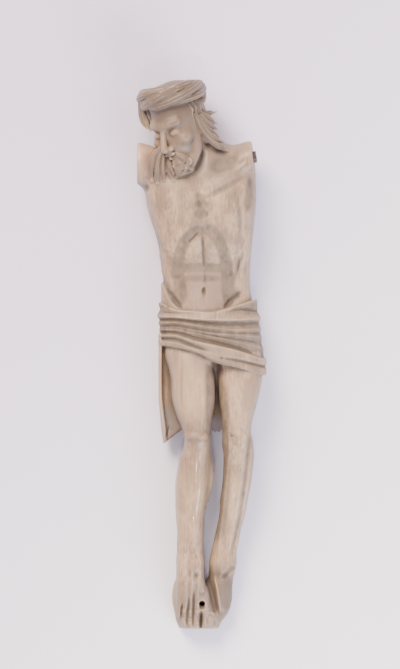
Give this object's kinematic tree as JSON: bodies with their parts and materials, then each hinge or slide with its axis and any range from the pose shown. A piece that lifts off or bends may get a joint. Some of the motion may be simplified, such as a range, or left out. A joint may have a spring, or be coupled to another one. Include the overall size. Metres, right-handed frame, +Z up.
{
  "type": "crucifix corpus figure",
  "caption": "Carved crucifix corpus: a bearded man with a crown of twisted stems and a loincloth, feet crossed, arms missing, a peg stub in a shoulder; lies on its back.",
  "frame": {"origin": "the middle of the figure's length and width, on the surface that its back rests on", "axes": "+Y from the sawn toes to the crown, +X towards the figure's left side, +Z up, out of the chest"},
  "size_m": [0.0438, 0.183, 0.0282],
  "materials": {
    "ivory": "satin",
    "peg_wood": "matte"
  },
  "bodies": {
    "root": {"corpus": "ivory", "shoulder_peg": "peg_wood"}
  },
  "joints": []
}
